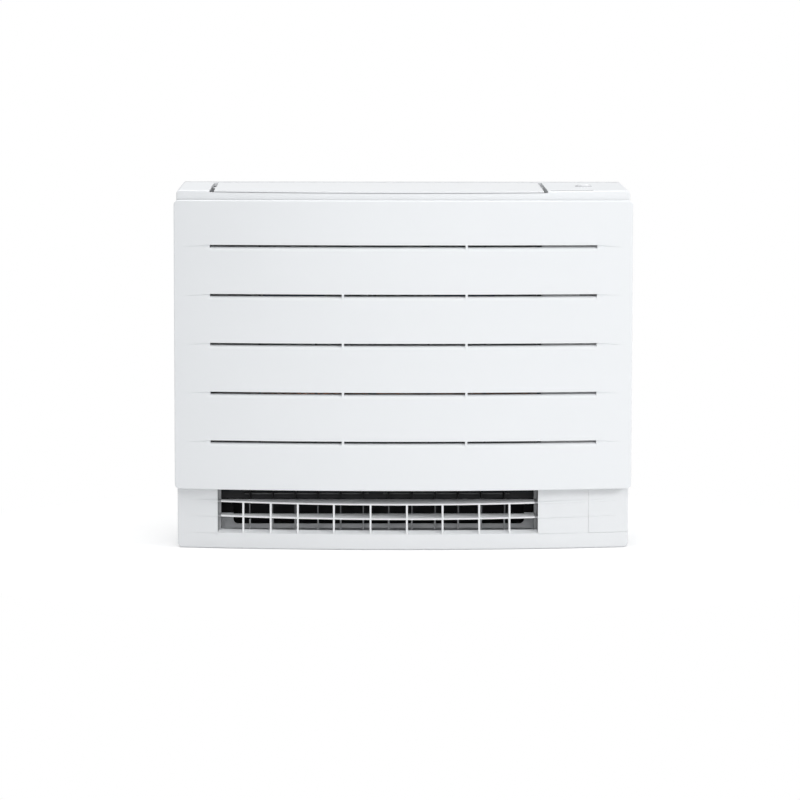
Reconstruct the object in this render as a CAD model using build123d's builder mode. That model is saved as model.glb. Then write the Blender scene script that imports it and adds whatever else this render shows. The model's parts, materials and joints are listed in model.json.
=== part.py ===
from build123d import *
import math
import os

os.makedirs("parts", exist_ok=True)

# Floor standing air conditioner (low console, air in at the front, air out at top and bottom).
# Millimetres. X runs to the viewer's right, -Y towards the viewer, Z up.
# The origin is the middle of the bottom of the whole object's box.

# ---- Overall size
width = 750.0
height = 600.0
depth = 238.0
front_y = -depth / 2
back_y = depth / 2

# ---- The bowed front: every front face is an arc about one upright axis
bulge = 38.0
half_width = width / 2
arc_radius = (half_width**2 + bulge**2) / (2 * bulge)
arc_axis_y = front_y + arc_radius
arc_axis = Axis((0, arc_axis_y, 0), (0, 0, 1))

# ---- Front panel
panel_bottom = 98.5
panel_top = 571.5
panel_skin = 3.0
panel_rim = 13.0
panel_foot_rim = 7.0
panel_corner = 8.0
panel_edge = 2.0
slot_tops = [499.0 - 79.9 * step for step in range(5)]
slot_height = 10.2
slot_roll = 7.0
slot_end = 316.0
bridge_places = (-99.0, 102.0)
bridge_width = 3.8
crease_end = 360.0
crease_depth = 1.8
hinge_pin = 3.0
panel_axis_y = -80.0
panel_axis_z = 107.0
panel_arm_x = 268.0

# ---- Casing
case_inset = 16.0
case_half = 371.5
wall = 3.0
case_rear = 112.7
deck_front_y = -65.0
deck_front_z = 587.8
deck_slope = (height - deck_front_z) / (back_y - deck_front_y)
top_corner = 6.0
foot_corner = 8.0
case_edge = 2.5

# ---- Upper outlet in the deck, and its flap
deck_left = -317.0
deck_right = 235.5
deck_rear = 99.0
flap_left = -309.0
flap_right = 228.5
flap_rear = 95.5
flap_inset = 17.0
flap_lip = 2.0
opening_inset = 20.3
sill_drop = 3.0
flap_thickness = 4.0
flap_axis_y = 76.0
flap_axis_z = 588.5
flap_pin = 2.5
shelf_rear = -67.0

# ---- Button, window and lamp on the deck
button_x = 300.6
button_y = 21.0
button_radius = 11.0
ring_radius = 13.75
button_proud = 3.4
button_travel = 1.2
stem_bottom = 574.6
window_left = 240.0
window_right = 311.0
lamp_x = 316.0

# ---- Lower outlet
outlet_left = -305.0
outlet_right = 221.0
outlet_bottom = 25.5
lip_top = 31.0
lip_depth = 10.0
lip_foot = 19.0
lip_slope = (lip_top - outlet_bottom) / lip_depth
sill_rear = -64.4
outlet_top = 104.0
bar_fronts = (75.7, 51.8)
bar_thickness = 2.8
bar_rear = -70.0
bar_slope = 0.135
mullions = (-262.8, -217.6, -173.1, -113.9, -53.9, 5.7, 64.2, 124.4, 174.2)
mullion_width = 3.0
post_width = 5.0
post_rear = -52.0
cover_left = 305.0
cover_top = 112.0
ridge_depth = 1.6
ridge_hollow = 9.0
ledge_depth = 2.4
ledge_hollow = 21.0
ridge_end = 352.0

# ---- Air path
duct_left = -305.5
duct_right = 221.5
duct_rear = 100.0
upper_rear = 96.0
duct_floor = 25.0
duct_ceiling = 99.0
duct_front = -21.0
duct_lip = -64.0
duct_top = 565.0
fan_x = -42.0
fan_z = 310.0
fan_radius = 160.0
motor_radius = 58.0
shaft_radius = 4.0
lug_circle = 63.0
bracket_rear = 103.6

# ---- Vanes
vane_thickness = 2.0
lever = 12.0
pin_radius = 1.5
fit = 0.06
left_vanes = [-253.6 + 37.6 * step for step in range(6)]
right_vanes = [-23.4 + 38.4 * step for step in range(6)]
vane_axis_y = -30.0
upper_vanes = [-258.0 + 87.0 * step for step in range(6)]
upper_vane_z = 546.0
upper_front = -57.5

# ---- Coil and its neighbours
coil_left = -320.0
coil_right = 236.0
coil_front = -59.0
coil_rear = -31.0
coil_bottom = 106.0
coil_top = 500.0
tube_radius = 3.5
tube_pitch = 25.0
tube_rows = (-51.5, -38.5)
tube_levels = [152.5 + tube_pitch * step for step in range(14)]
# ---- Drain
spout_x = 260.0
spout_z = 114.0
spout_radius = 8.0
hose_hole = 15.0

# ---- Filters
filter_front = -72.0
filter_rear = -66.0


def arc_y(x, inset):
    # Y of the bowed front at x, this far behind the panel's face
    return arc_axis_y - math.sqrt((arc_radius - inset) ** 2 - x**2)


def arc_angle(x, inset=0.0):
    return math.degrees(math.asin(x / (arc_radius - inset)))


def radial_plane(x, inset=0.0):
    # Upright plane through the arc's axis and the front at x: local x runs out to the front, local y up
    angle = math.radians(arc_angle(x, inset))
    outward = (math.sin(angle), -math.cos(angle), 0)
    return Plane(origin=(0, arc_axis_y, 0), x_dir=outward, z_dir=(outward[1], -outward[0], 0))


def deck_z(y):
    return deck_front_z + deck_slope * (y - deck_front_y)


deck_tilt = math.atan(deck_slope)
deck_plane = Plane(
    origin=(0, deck_front_y, deck_front_z),
    x_dir=(1, 0, 0),
    z_dir=(0, -math.sin(deck_tilt), math.cos(deck_tilt)),
)


def arc_band(left, right, front_inset, rear_inset):
    # Plan outline of a strip between two of the front's arcs
    middle = (left + right) / 2
    with BuildSketch() as band:
        with BuildLine():
            near = ThreePointArc(
                (left, arc_y(left, front_inset)),
                (middle, arc_y(middle, front_inset)),
                (right, arc_y(right, front_inset)),
            )
            far = ThreePointArc(
                (left, arc_y(left, rear_inset)),
                (middle, arc_y(middle, rear_inset)),
                (right, arc_y(right, rear_inset)),
            )
            Line(near @ 0, far @ 0)
            Line(near @ 1, far @ 1)
        make_face()
    return band.sketch


def slat_z(front_z, y):
    # Height of a slat's top: slats are flat, rise to the rear, and end in front on the bow
    return front_z + bar_slope * (y - front_y - case_inset)


def slat_plane(front_z):
    return Plane(origin=(0, front_y + case_inset, front_z), x_dir=(1, 0, 0), z_dir=(0, -bar_slope, 1))


def box_between(low, high, mode=Mode.ADD):
    # A box from its lowest to its highest corner, inside the part being built
    centre = [(a + b) / 2 for a, b in zip(low, high)]
    with Locations(tuple(centre)):
        Box(*[b - a for a, b in zip(low, high)], mode=mode)


def console_form(inset, bottom, rear):
    # The casing's outer form drawn in by inset: bowed front, flat sides, sloping deck, rounded edges
    side = case_half - inset
    front = case_inset + inset
    with BuildPart() as form:
        with BuildSketch(Plane.XY.offset(bottom)):
            with BuildLine():
                bow = ThreePointArc(
                    (-side, arc_y(side, front)), (0, arc_y(0, front)), (side, arc_y(side, front))
                )
                Polyline(bow @ 1, (side, rear), (-side, rear), bow @ 0)
            make_face()
        extrude(amount=height + 20 - bottom)
        split(bisect_by=deck_plane.offset(-inset), keep=Keep.BOTTOM)
        along = form.edges().filter_by(lambda e: abs(abs(e.center().X) - side) < 0.01)
        fillet(along.filter_by(Axis.Y).group_by(Axis.Z)[0], foot_corner - inset)
        along = form.edges().filter_by(lambda e: abs(abs(e.center().X) - side) < 0.01)
        fillet(along.filter_by(lambda e: e.center().Z > deck_front_z - inset - 2), top_corner - inset)
        # The front's edge is rounded outside and left sharp inside
        if inset < wall:
            face = form.faces().sort_by(Axis.Y)[0]
            fillet(face.edges(), case_edge - inset)
    return form.part


# ---------------------------------------------------------------- front panel
with BuildPart() as front_panel:
    with BuildSketch(Plane.XY.offset(panel_bottom)):
        add(arc_band(-half_width, half_width, 0, panel_rim))
    extrude(amount=panel_top - panel_bottom)
    fillet(front_panel.edges().filter_by(Axis.Y), panel_corner)
    fillet(front_panel.faces().sort_by(Axis.Y)[0].edges(), panel_edge)
    with BuildSketch(Plane.XY.offset(panel_bottom + panel_skin)):
        inner = half_width - panel_skin
        add(arc_band(-inner, inner, panel_skin, panel_rim + 5))
    extrude(amount=panel_top - panel_bottom - 2 * panel_skin, mode=Mode.SUBTRACT)

    # The rim is shallower at the foot, so that the panel can swing out past the casing
    with BuildSketch(Plane.XY.offset(panel_bottom - 1)):
        add(arc_band(-half_width, half_width, panel_foot_rim, panel_rim + 5))
    extrude(amount=12, mode=Mode.SUBTRACT)

    # Air slots: a sharp upper lip over a top edge that rolls inwards
    for number, slot_top in enumerate(slot_tops):
        bridges = bridge_places[1:] if number == 0 else bridge_places
        ends = [-slot_end]
        for place in bridges:
            ends += [place - bridge_width / 2, place + bridge_width / 2]
        ends.append(slot_end)
        low = slot_top - slot_height
        for left, right in zip(ends[::2], ends[1::2]):
            sweep_angle = arc_angle(right) - arc_angle(left)
            with BuildSketch(radial_plane(left)):
                with Locations((arc_radius - panel_skin / 2, slot_top - slot_height / 2)):
                    Rectangle(panel_skin + 2, slot_height)
            revolve(axis=arc_axis, revolution_arc=sweep_angle, mode=Mode.SUBTRACT)
            with BuildSketch(radial_plane(left)):
                with BuildLine():
                    outer = CenterArc((arc_radius - slot_roll, low), slot_roll, 0, 90)
                    inner_arc = CenterArc((arc_radius - slot_roll, low), slot_roll - 2, 0, 90)
                    Polyline(
                        outer @ 1,
                        (arc_radius - slot_roll - 3, low + slot_roll),
                        (arc_radius - slot_roll - 3, low + slot_roll - 2),
                        inner_arc @ 1,
                    )
                    Line(outer @ 0, inner_arc @ 0)
                make_face()
            revolve(axis=arc_axis, revolution_arc=sweep_angle)

        # The step at each slot's end runs out to nothing towards the panel's side
        for side in (-1, 1):
            stations = 4
            with BuildPart(mode=Mode.PRIVATE) as crease:
                for station in range(stations + 1):
                    share = station / stations
                    place = side * (slot_end + (crease_end - slot_end) * share)
                    left_over = 1 - 0.94 * share
                    with BuildSketch(radial_plane(place)):
                        with BuildLine():
                            Polyline(
                                (arc_radius + 0.4, slot_top - 3.2 * share),
                                (arc_radius - crease_depth * left_over, slot_top - 3.2 * share),
                                (arc_radius + 0.4, slot_top - 3.2 * share - slot_height * left_over),
                                close=True,
                            )
                        make_face()
                loft(ruled=True)
            add(crease.part, mode=Mode.SUBTRACT)

    # Hooks at the foot of the panel that carry its hinge pins
    for side in (-1, 1):
        arm = side * panel_arm_x
        skin_y = arc_y(arm, panel_skin)
        box_between((arm - 4, skin_y - 0.5, panel_axis_z - 5), (arm + 4, panel_axis_y, panel_axis_z + 5))
        with BuildSketch(Plane.YZ.offset(arm - 4)):
            with Locations((panel_axis_y, panel_axis_z)):
                Circle(5)
        extrude(amount=8)
        with BuildSketch(Plane.YZ.offset(arm - 14)):
            with Locations((panel_axis_y, panel_axis_z)):
                Circle(hinge_pin)
        extrude(amount=28)
    # Catches at the head of the panel
    for side in (-1, 1):
        catch = side * 300
        skin_y = arc_y(catch, panel_skin)
        box_between((catch - 10, skin_y - 0.5, 556), (catch + 10, skin_y + 16, 559))
front_panel.part.label = "front_panel"
export_step(front_panel.part, "parts/front_panel.step")

# ---------------------------------------------------------------- casing
def face_hollow(start, stop, edge, deep, tall):
    # Wedge cut out of the casing's face along an edge, running out to nothing at its far end
    stations = 4
    face = arc_radius - case_inset
    with BuildPart() as hollow:
        for station in range(stations + 1):
            share = station / stations
            left_over = 1 - 0.94 * share
            level = edge[0] + (edge[1] - edge[0]) * share
            with BuildSketch(radial_plane(start + (stop - start) * share, case_inset)):
                with BuildLine():
                    Polyline(
                        (face + 0.4, level),
                        (face - deep * left_over, level),
                        (face + 0.4, level + tall * left_over),
                        close=True,
                    )
                make_face()
        loft(ruled=True)
    return hollow.part


outer_form = console_form(0, 0, back_y)
inner_form = console_form(wall, wall, back_y + 10)
core_form = console_form(wall / 2, 0, back_y)

with BuildPart() as skin:
    add(outer_form)
    add(inner_form, mode=Mode.SUBTRACT)
    box_between((-400, case_rear, -5), (400, back_y + 5, height + 5), Mode.SUBTRACT)
    # Ridges that carry the outlet's slats on over the casing, each over a shallow hollow
    for start, stop in ((outlet_right, ridge_end), (outlet_left, -ridge_end)):
        for slat in bar_fronts:
            edge = [slat_z(slat, arc_y(x, case_inset)) - bar_thickness for x in (start, stop)]
            add(face_hollow(start, stop, edge, ridge_depth, -ridge_hollow), mode=Mode.SUBTRACT)
        sill = outlet_bottom
        add(face_hollow(start, stop, (sill, sill), ridge_depth, -ridge_hollow), mode=Mode.SUBTRACT)
        # The upper ridge also has a ledge on top
        edge = [slat_z(bar_fronts[0], arc_y(x, case_inset)) for x in (start, stop)]
        add(face_hollow(start, stop, edge, ledge_depth, ledge_hollow), mode=Mode.SUBTRACT)

cover_region_low = (cover_left, -130, outlet_bottom)
cover_region_high = (case_half + 5, -48, cover_top)
seam = 0.35

# A rectangular throat behind the intake that guides the two filters
intake_left = -330.0
intake_right = 228.0
intake_bottom = 129.5
intake_top = 506.0
throat_rear = -62.0
with BuildPart() as intake_throat:
    box_between((intake_left, -115, intake_bottom), (intake_right, throat_rear, intake_top))
    box_between(
        (intake_left + 2, -120, intake_bottom + 2),
        (intake_right - 2, throat_rear + 5, intake_top - 2),
        Mode.SUBTRACT,
    )
    add(core_form, mode=Mode.INTERSECT)
with BuildPart() as outlet_collar:
    box_between((deck_left - 3, -74, 566), (deck_right + 3, deck_rear + 5, height))
    add(core_form, mode=Mode.INTERSECT)

face_radius = arc_radius - case_inset
outlet_sweep = arc_angle(outlet_right, case_inset) - arc_angle(outlet_left, case_inset)

ring_plane = Plane(origin=(button_x, button_y, deck_z(button_y)), z_dir=deck_plane.z_dir)
with BuildPart() as button_ring:
    with BuildSketch(ring_plane.offset(-2)):
        Circle(ring_radius)
    extrude(amount=2.9)
    fillet(button_ring.faces().sort_by(Axis.Z)[-1].edges(), 0.7)

with BuildPart() as front_casing:
    add(skin.part)
    box_between(
        (intake_left + 2, -115, intake_bottom + 2),
        (intake_right - 2, -60, intake_top - 2),
        Mode.SUBTRACT,
    )
    add(intake_throat.part)
    # Lower outlet
    box_between(
        (outlet_left, -115, outlet_bottom), (outlet_right, -60, outlet_top), Mode.SUBTRACT
    )
    # Its lower lip slopes up and back to a sill, which carries on to meet the duct's floor
    with BuildSketch(radial_plane(outlet_left, case_inset)):
        with BuildLine():
            Polyline(
                (face_radius - 1, lip_foot),
                (face_radius, outlet_bottom),
                (face_radius - lip_depth, lip_top),
                (face_radius - lip_depth - 2, lip_top),
                (face_radius - lip_depth - 2, duct_floor - wall),
                (face_radius - lip_depth, lip_foot),
                close=True,
            )
        make_face()
    revolve(axis=arc_axis, revolution_arc=outlet_sweep)
    with BuildSketch(Plane.XY.offset(duct_floor - wall)):
        add(arc_band(outlet_left, outlet_right, case_inset + 2, 90))
        with Locations((0, sill_rear + 50)):
            Rectangle(2 * case_half, 100, mode=Mode.SUBTRACT)
    extrude(amount=wall)
    # Seat of the service cover
    box_between(
        tuple(value - seam for value in cover_region_low),
        tuple(value + seam for value in cover_region_high),
        Mode.SUBTRACT,
    )
    # Collar round the upper outlet
    add(outlet_collar.part)
    with BuildSketch(Plane.XY.offset(560)):
        add(arc_band(deck_left, deck_right, opening_inset, 240))
        with BuildLine():
            Polyline(
                (deck_left, deck_rear),
                (deck_right, deck_rear),
                (deck_right, deck_rear + 80),
                (deck_left, deck_rear + 80),
                close=True,
            )
        make_face(mode=Mode.SUBTRACT)
    extrude(amount=50, mode=Mode.SUBTRACT)
    box_between((deck_left, 60, 560), (deck_right, deck_rear + 2, 592), Mode.SUBTRACT)
    # The front wall stops short of the deck there, and the flap's lip reaches out over it
    with BuildPart(mode=Mode.PRIVATE) as sill_cut:
        with BuildSketch(Plane.XY.offset(560)):
            add(arc_band(deck_left, deck_right, case_inset - 2, opening_inset + 0.5))
        extrude(amount=60)
        split(bisect_by=deck_plane.offset(-sill_drop), keep=Keep.TOP)
    add(sill_cut.part, mode=Mode.SUBTRACT)
    # Latch pocket beside the intake
    box_between((288, -115, 398), (318, -60, 432), Mode.SUBTRACT)
    # Shelf that joins the opening's bowed front to the duct's straight wall
    with BuildSketch(Plane.XY.offset(566)):
        add(arc_band(deck_left - 3, deck_right + 3, case_inset + 2, 90))
        with Locations((0, shelf_rear + 50)):
            Rectangle(2 * case_half, 100, mode=Mode.SUBTRACT)
    extrude(amount=2.5)
    # Bores for the flap's pins
    with BuildSketch(Plane.YZ.offset(deck_left - 5)):
        with Locations((flap_axis_y, flap_axis_z)):
            Circle(flap_pin + fit)
    extrude(amount=deck_right - deck_left + 10, mode=Mode.SUBTRACT)
    # Button: a raised ring round its hole
    add(button_ring.part)
    with BuildSketch(Plane.XY.offset(560)):
        with Locations((button_x, button_y)):
            Circle(button_radius + 0.35)
    extrude(amount=50, mode=Mode.SUBTRACT)
    # Seats of the window and the lamp
    with BuildSketch(Plane.XY.offset(570)):
        add(arc_band(window_left, window_right, 21, 33))
    extrude(amount=30, mode=Mode.SUBTRACT)
    with BuildSketch(Plane.XY.offset(570)):
        with Locations((lamp_x, arc_y(lamp_x, 24))):
            Circle(1.6)
    extrude(amount=30, mode=Mode.SUBTRACT)
    # Slots that let the panel's hooks in, with the bosses that hold the hinge pins
    for side in (-1, 1):
        arm = side * panel_arm_x
        box_between((arm - 5, -115, 97), (arm + 5, -70, 115), Mode.SUBTRACT)
        for cheek in (-1, 1):
            inner_x = arm + cheek * 5
            outer_x = arm + cheek * 15
            low_x, high_x = sorted((inner_x, outer_x))
            outermost = max(abs(low_x), abs(high_x))
            box_between((low_x, arc_y(outermost, case_inset + 0.6), 105), (high_x, -70, 116))
        with BuildSketch(Plane.YZ.offset(arm - 14.6)):
            with Locations((panel_axis_y, panel_axis_z)):
                Circle(hinge_pin + fit)
        extrude(amount=29.2, mode=Mode.SUBTRACT)
        # Mouths for the panel's catches
        catch = side * 300
        box_between((catch - 12, arc_y(catch, 14), 553), (catch + 12, arc_y(catch, 22), 562), Mode.SUBTRACT)
    # Bosses that take the screws from the back
    for boss_x in (-356.5, 356.5):
        for boss_z in (60, 300, 540):
            box_between((boss_x - 9, case_rear - 24, boss_z - 7), (boss_x + 9, case_rear, boss_z + 7))
            with BuildSketch(Plane.XZ.offset(-case_rear)):
                with Locations((boss_x, boss_z)):
                    Circle(1.75)
            extrude(amount=20, mode=Mode.SUBTRACT)
front_casing.part.label = "front_casing"
export_step(front_casing.part, "parts/front_casing.step")

with BuildPart() as service_cover:
    add(skin.part)
    box_between(cover_region_low, cover_region_high, Mode.INTERSECT)
service_cover.part.label = "service_cover"
export_step(service_cover.part, "parts/service_cover.step")

# ---------------------------------------------------------------- lower outlet grille
left = outlet_left + 0.2
right = outlet_right - 0.2
# Each slat is flat, tilted up to a straight rear edge, with a rounded nose on the bow
slats = []
for bar_top in bar_fronts:
    top_plane = slat_plane(bar_top)
    with BuildPart() as slat:
        with BuildSketch(Plane.XY.offset(bar_top - 20)):
            with BuildLine():
                nose = ThreePointArc(
                    (left, arc_y(left, case_inset)),
                    ((left + right) / 2, arc_y((left + right) / 2, case_inset)),
                    (right, arc_y(right, case_inset)),
                )
                Polyline(nose @ 1, (right, bar_rear), (left, bar_rear), nose @ 0)
            make_face()
        extrude(amount=40)
        split(bisect_by=top_plane, keep=Keep.BOTTOM)
        split(bisect_by=top_plane.offset(-bar_thickness), keep=Keep.TOP)
        front_face = slat.faces().filter_by(GeomType.CYLINDER).sort_by(Axis.Y)[0]
        fillet(front_face.edges().filter_by(lambda e: e.length > 100), 1.1)
    slats.append(slat.part)

# Uprights that reach into the upper slat
with BuildPart() as uprights:
    for mullion in mullions:
        box_between(
            (mullion - mullion_width / 2, arc_y(mullion, case_inset + 0.8), duct_floor + 0.3),
            (mullion + mullion_width / 2, min(arc_y(mullion, case_inset + 21), bar_rear), outlet_top),
        )
    split(bisect_by=slat_plane(bar_fronts[0]).offset(-bar_thickness / 2), keep=Keep.BOTTOM)

with BuildPart() as outlet_grille:
    add(slats)
    add(uprights.part)
    for post_left in (left, right - post_width):
        box_between(
            (post_left, bar_rear - 0.5, duct_floor + 0.3),
            (post_left + post_width, post_rear, duct_ceiling - 0.3),
        )
    with BuildSketch(Plane.XY.offset(97.6)):
        add(arc_band(left, right, case_inset + 4, case_inset + 14))
    extrude(amount=2.6)
    # The feet stand on the casing's lip
    with BuildSketch(radial_plane(outlet_left, case_inset)):
        with BuildLine():
            Polyline(
                (face_radius + 5, lip_foot),
                (face_radius + 5, outlet_bottom - 5 * lip_slope + 0.3),
                (face_radius - lip_depth, lip_top + 0.3),
                (face_radius - lip_depth - 2.3, lip_top + 0.3),
                (face_radius - lip_depth - 2.3, lip_foot),
                close=True,
            )
        make_face()
    revolve(axis=arc_axis, revolution_arc=outlet_sweep, mode=Mode.SUBTRACT)
outlet_grille.part.label = "outlet_grille"
export_step(outlet_grille.part, "parts/outlet_grille.step")

# ---------------------------------------------------------------- rear chassis
plate_front = case_rear + 0.3
fixing_span_x = 500.0
fixing_span_z = 400.0
base_top = wall + 3.3
with BuildPart() as rear_chassis:
    add(outer_form)
    box_between((-400, -200, -5), (400, plate_front, height + 5), Mode.SUBTRACT)
    # Shallow pressings in the back
    for low_x, high_x, low_z, high_z in (
        (-270, -60, 130, 470),
        (-30, 180, 130, 470),
    ):
        with BuildSketch(Plane.XZ.offset(-back_y)):
            with Locations(((low_x + high_x) / 2, (low_z + high_z) / 2)):
                RectangleRounded(high_x - low_x, high_z - low_z, 12)
        extrude(amount=1.5, mode=Mode.SUBTRACT)
    # Base plate, end frames and the wall between the air side and the electrical side
    box_between((-362, -55, wall + 0.3), (362, plate_front, base_top))
    for frame_x in (-345, 345):
        box_between((frame_x - 1, -20, base_top), (frame_x + 1, plate_front, 560))
    box_between((240, -22, base_top), (242, plate_front, 560))
    # Wall fixing holes, pipe way out, and screw holes for the casing
    with BuildSketch(Plane.XZ.offset(-back_y)):
        with Locations((0, 300)):
            with GridLocations(fixing_span_x, fixing_span_z, 2, 2):
                Circle(2.75)
        with Locations((310, 75)):
            RectangleRounded(56, 70, 8)
        with Locations((spout_x, spout_z)):
            Circle(hose_hole)
        with Locations((0, 300)):
            with GridLocations(713, 240, 2, 3):
                Circle(2.2)
    extrude(amount=10, mode=Mode.SUBTRACT)
    with BuildSketch(Plane.XZ.offset(-back_y)):
        with Locations((0, 300)):
            with GridLocations(713, 240, 2, 3):
                Circle(4.5)
    extrude(amount=2.6, mode=Mode.SUBTRACT)
    # Studs that hold the motor's bracket
    with BuildSketch(Plane.XZ.offset(-plate_front)):
        with Locations((fan_x, fan_z)):
            with PolarLocations(lug_circle, 3, start_angle=90):
                Circle(5)
    extrude(amount=plate_front - bracket_rear)
rear_chassis.part.label = "rear_chassis"
export_step(rear_chassis.part, "parts/rear_chassis.step")

with BuildPart() as casing_screws:
    for screw_x in (-356.5, 356.5):
        for screw_z in (60, 300, 540):
            with BuildSketch(Plane.XZ.offset(-back_y + 0.3)):
                with Locations((screw_x, screw_z)):
                    Circle(4.0)
            extrude(amount=2.2)
            with BuildSketch(Plane.XZ.offset(-back_y + 2.5)):
                with Locations((screw_x, screw_z)):
                    Circle(1.7)
            extrude(amount=20)
            with BuildSketch(Plane.XZ.offset(-back_y + 0.3)):
                with Locations((screw_x, screw_z)):
                    Rectangle(4.6, 0.9)
                    Rectangle(0.9, 4.6)
            extrude(amount=1.2, mode=Mode.SUBTRACT)
casing_screws.part.label = "casing_screws"
export_step(casing_screws.part, "parts/casing_screws.step")

# ---------------------------------------------------------------- upper flap
with BuildPart() as upper_flap:
    with BuildSketch(Plane.XY.offset(560)):
        with BuildLine():
            middle = (flap_left + flap_right) / 2
            lip = ThreePointArc(
                (flap_left, arc_y(flap_left, flap_inset)),
                (middle, arc_y(middle, flap_inset)),
                (flap_right, arc_y(flap_right, flap_inset)),
            )
            Polyline(lip @ 1, (flap_right, flap_rear), (flap_left, flap_rear), lip @ 0)
        make_face()
    extrude(amount=60)
    split(bisect_by=deck_plane, keep=Keep.BOTTOM)
    split(bisect_by=deck_plane.offset(-flap_thickness), keep=Keep.TOP)
    fillet(upper_flap.faces().sort_by(Axis.Z)[-1].edges(), 1.0)
    # Thin lip over the casing's front wall
    with BuildPart(mode=Mode.PRIVATE) as lip_cut:
        with BuildSketch(Plane.XY.offset(560)):
            add(arc_band(flap_left - 1, flap_right + 1, case_inset, opening_inset + 2.2))
        extrude(amount=60)
        split(bisect_by=deck_plane.offset(-flap_lip), keep=Keep.BOTTOM)
    add(lip_cut.part, mode=Mode.SUBTRACT)
    # Stiffening ribs and the lugs that carry the pins
    for rib_y in (-40, 10, 50):
        rib_foot = deck_z(rib_y) - 9
        box_between((flap_left + 14, rib_y - 1, rib_foot), (flap_right - 14, rib_y + 1, rib_foot + 6))
    for lug_left in (flap_left, flap_right - 4):
        with BuildSketch(Plane.YZ.offset(lug_left)):
            with Locations((flap_axis_y, flap_axis_z)):
                Circle(4.5)
            with Locations((flap_axis_y, flap_axis_z + 2.5)):
                Rectangle(9, 5)
        extrude(amount=4)
    for pin_left in (flap_left - 10.5, flap_right - 2):
        with BuildSketch(Plane.YZ.offset(pin_left)):
            with Locations((flap_axis_y, flap_axis_z)):
                Circle(flap_pin)
        extrude(amount=12.5)
    # The right-hand pin goes on into the drive
    with BuildSketch(Plane.YZ.offset(flap_right)):
        with Locations((flap_axis_y, flap_axis_z)):
            Circle(flap_pin)
    extrude(amount=20)
upper_flap.part.label = "upper_flap"
export_step(upper_flap.part, "parts/upper_flap.step")

with BuildPart() as flap_motor:
    box_between((deck_right + 3.2, 62, 562), (deck_right + 24, 86, 592.2))
    fillet(flap_motor.edges().filter_by(Axis.X), 3)
    with BuildSketch(Plane.YZ.offset(deck_right + 24)):
        with Locations((74, 576)):
            Circle(11)
    extrude(amount=14)
    with BuildSketch(Plane.YZ.offset(deck_right)):
        with Locations((flap_axis_y, flap_axis_z)):
            Circle(flap_pin + fit)
    extrude(amount=18, mode=Mode.SUBTRACT)
flap_motor.part.label = "flap_motor"
export_step(flap_motor.part, "parts/flap_motor.step")

# ---------------------------------------------------------------- power button and board
with BuildPart() as power_button:
    with BuildSketch(Plane.XY.offset(588.5)):
        with Locations((button_x, button_y)):
            Circle(button_radius)
    extrude(amount=deck_z(button_y) + button_proud - 588.5)
    fillet(power_button.faces().sort_by(Axis.Z)[-1].edges(), 1.6)
    with BuildSketch(Plane.XY.offset(stem_bottom)):
        with Locations((button_x, button_y)):
            Circle(2.5)
    extrude(amount=590 - stem_bottom)
power_button.part.label = "power_button"
export_step(power_button.part, "parts/power_button.step")

spring_bottom = 574.0
spring_top = 588.4
with BuildPart() as button_spring:
    with BuildLine() as coil_line:
        Helix(
            pitch=2.6,
            height=spring_top - spring_bottom - 0.8,
            radius=4.0,
            center=(button_x, button_y, spring_bottom + 0.4),
        )
    with BuildSketch(Plane(origin=coil_line.line @ 0, z_dir=coil_line.line % 0)):
        Circle(0.35)
    sweep()
button_spring.part.label = "button_spring"
export_step(button_spring.part, "parts/button_spring.step")

with BuildPart() as display_board:
    box_between((258, -38, 566), (350, 56, 567.6))
    switch_top = stem_bottom - button_travel - 0.2
    box_between((button_x - 3.2, button_y - 3.2, 567.6), (button_x + 3.2, button_y + 3.2, switch_top))
    box_between((button_x - 8, button_y + 3.4, 567.6), (button_x + 8, button_y + 8, 573.9))
    box_between((button_x - 8, button_y - 8, 567.6), (button_x + 8, button_y - 3.4, 573.9))
    for chip_x, chip_y, size in ((275, 38, 12), (272, -8, 8), (334, 40, 9), (332, -20, 7)):
        with Locations((chip_x, chip_y, 568.8)):
            Box(size, size, 2.4)
    for post_x in (262, 346):
        for post_y in (-34, 52):
            with BuildSketch(Plane.XY.offset(567.6)):
                with Locations((post_x, post_y)):
                    Circle(2)
            extrude(until=Until.NEXT, target=front_casing.part)
display_board.part.label = "display_board"
export_step(display_board.part, "parts/display_board.step")

with BuildPart() as control_window:
    with BuildSketch(Plane.XY.offset(570)):
        add(arc_band(window_left + 0.2, window_right - 0.2, 21.2, 32.8))
    extrude(amount=40)
    split(bisect_by=deck_plane.offset(-0.1), keep=Keep.BOTTOM)
    split(bisect_by=deck_plane.offset(-3.1), keep=Keep.TOP)
control_window.part.label = "control_window"
export_step(control_window.part, "parts/control_window.step")

with BuildPart() as status_lamp:
    lamp_y = arc_y(lamp_x, 24)
    with BuildSketch(Plane.XY.offset(575)):
        with Locations((lamp_x, lamp_y)):
            Circle(1.5)
    extrude(amount=deck_z(lamp_y) - 575 - 0.3)
status_lamp.part.label = "status_lamp"
export_step(status_lamp.part, "parts/status_lamp.step")

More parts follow.
